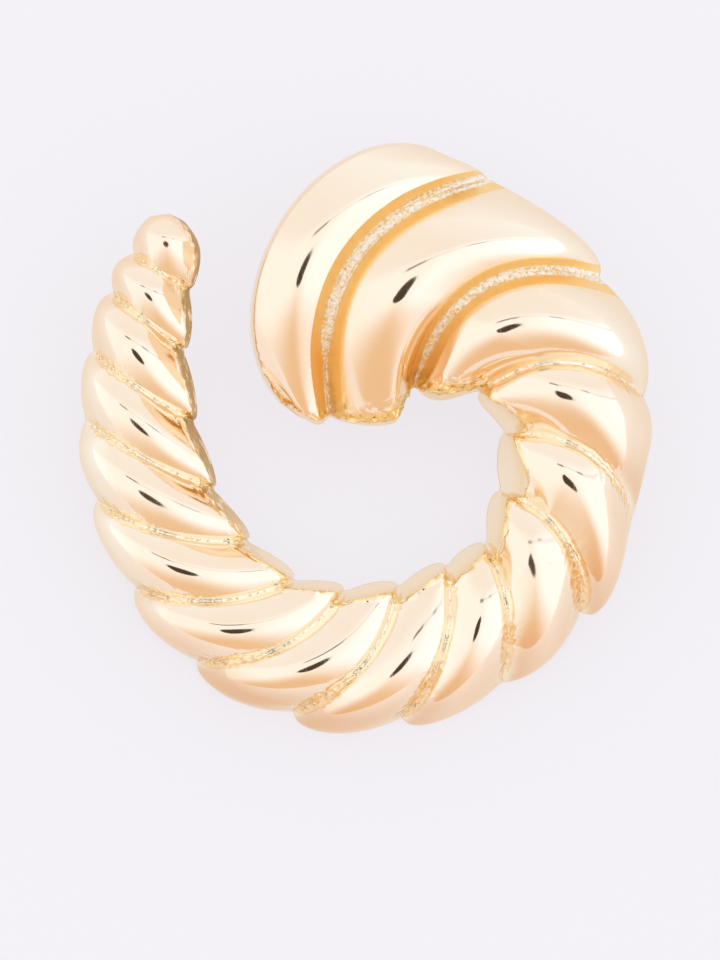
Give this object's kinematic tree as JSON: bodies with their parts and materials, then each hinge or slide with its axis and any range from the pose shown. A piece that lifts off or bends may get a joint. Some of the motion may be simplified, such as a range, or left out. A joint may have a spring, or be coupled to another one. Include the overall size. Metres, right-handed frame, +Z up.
{
  "type": "stud earring",
  "caption": "Polished pale gold stud earring shaped as a fluted horn bent round into an open ring, wide at one end and tapering to a rounded tip, with a plain post on its hollow back.",
  "frame": {"origin": "on the surface the earring lies on, under the middle of its bounding box", "axes": "+Z up from the surface; the open ring lies face up, leaning back 12 degrees on its post, with its big end towards +Y and the face's lower edge towards -Y; +X to the right of the face"},
  "size_m": [0.0376, 0.0376, 0.0144],
  "materials": {
    "pale_gold": "mirror polished pale gold plate with rough-cast groove floors",
    "post_gold": "satin pale gold plate"
  },
  "bodies": {
    "root": {"horn_shell": "pale_gold", "ear_post": "post_gold"}
  },
  "joints": []
}
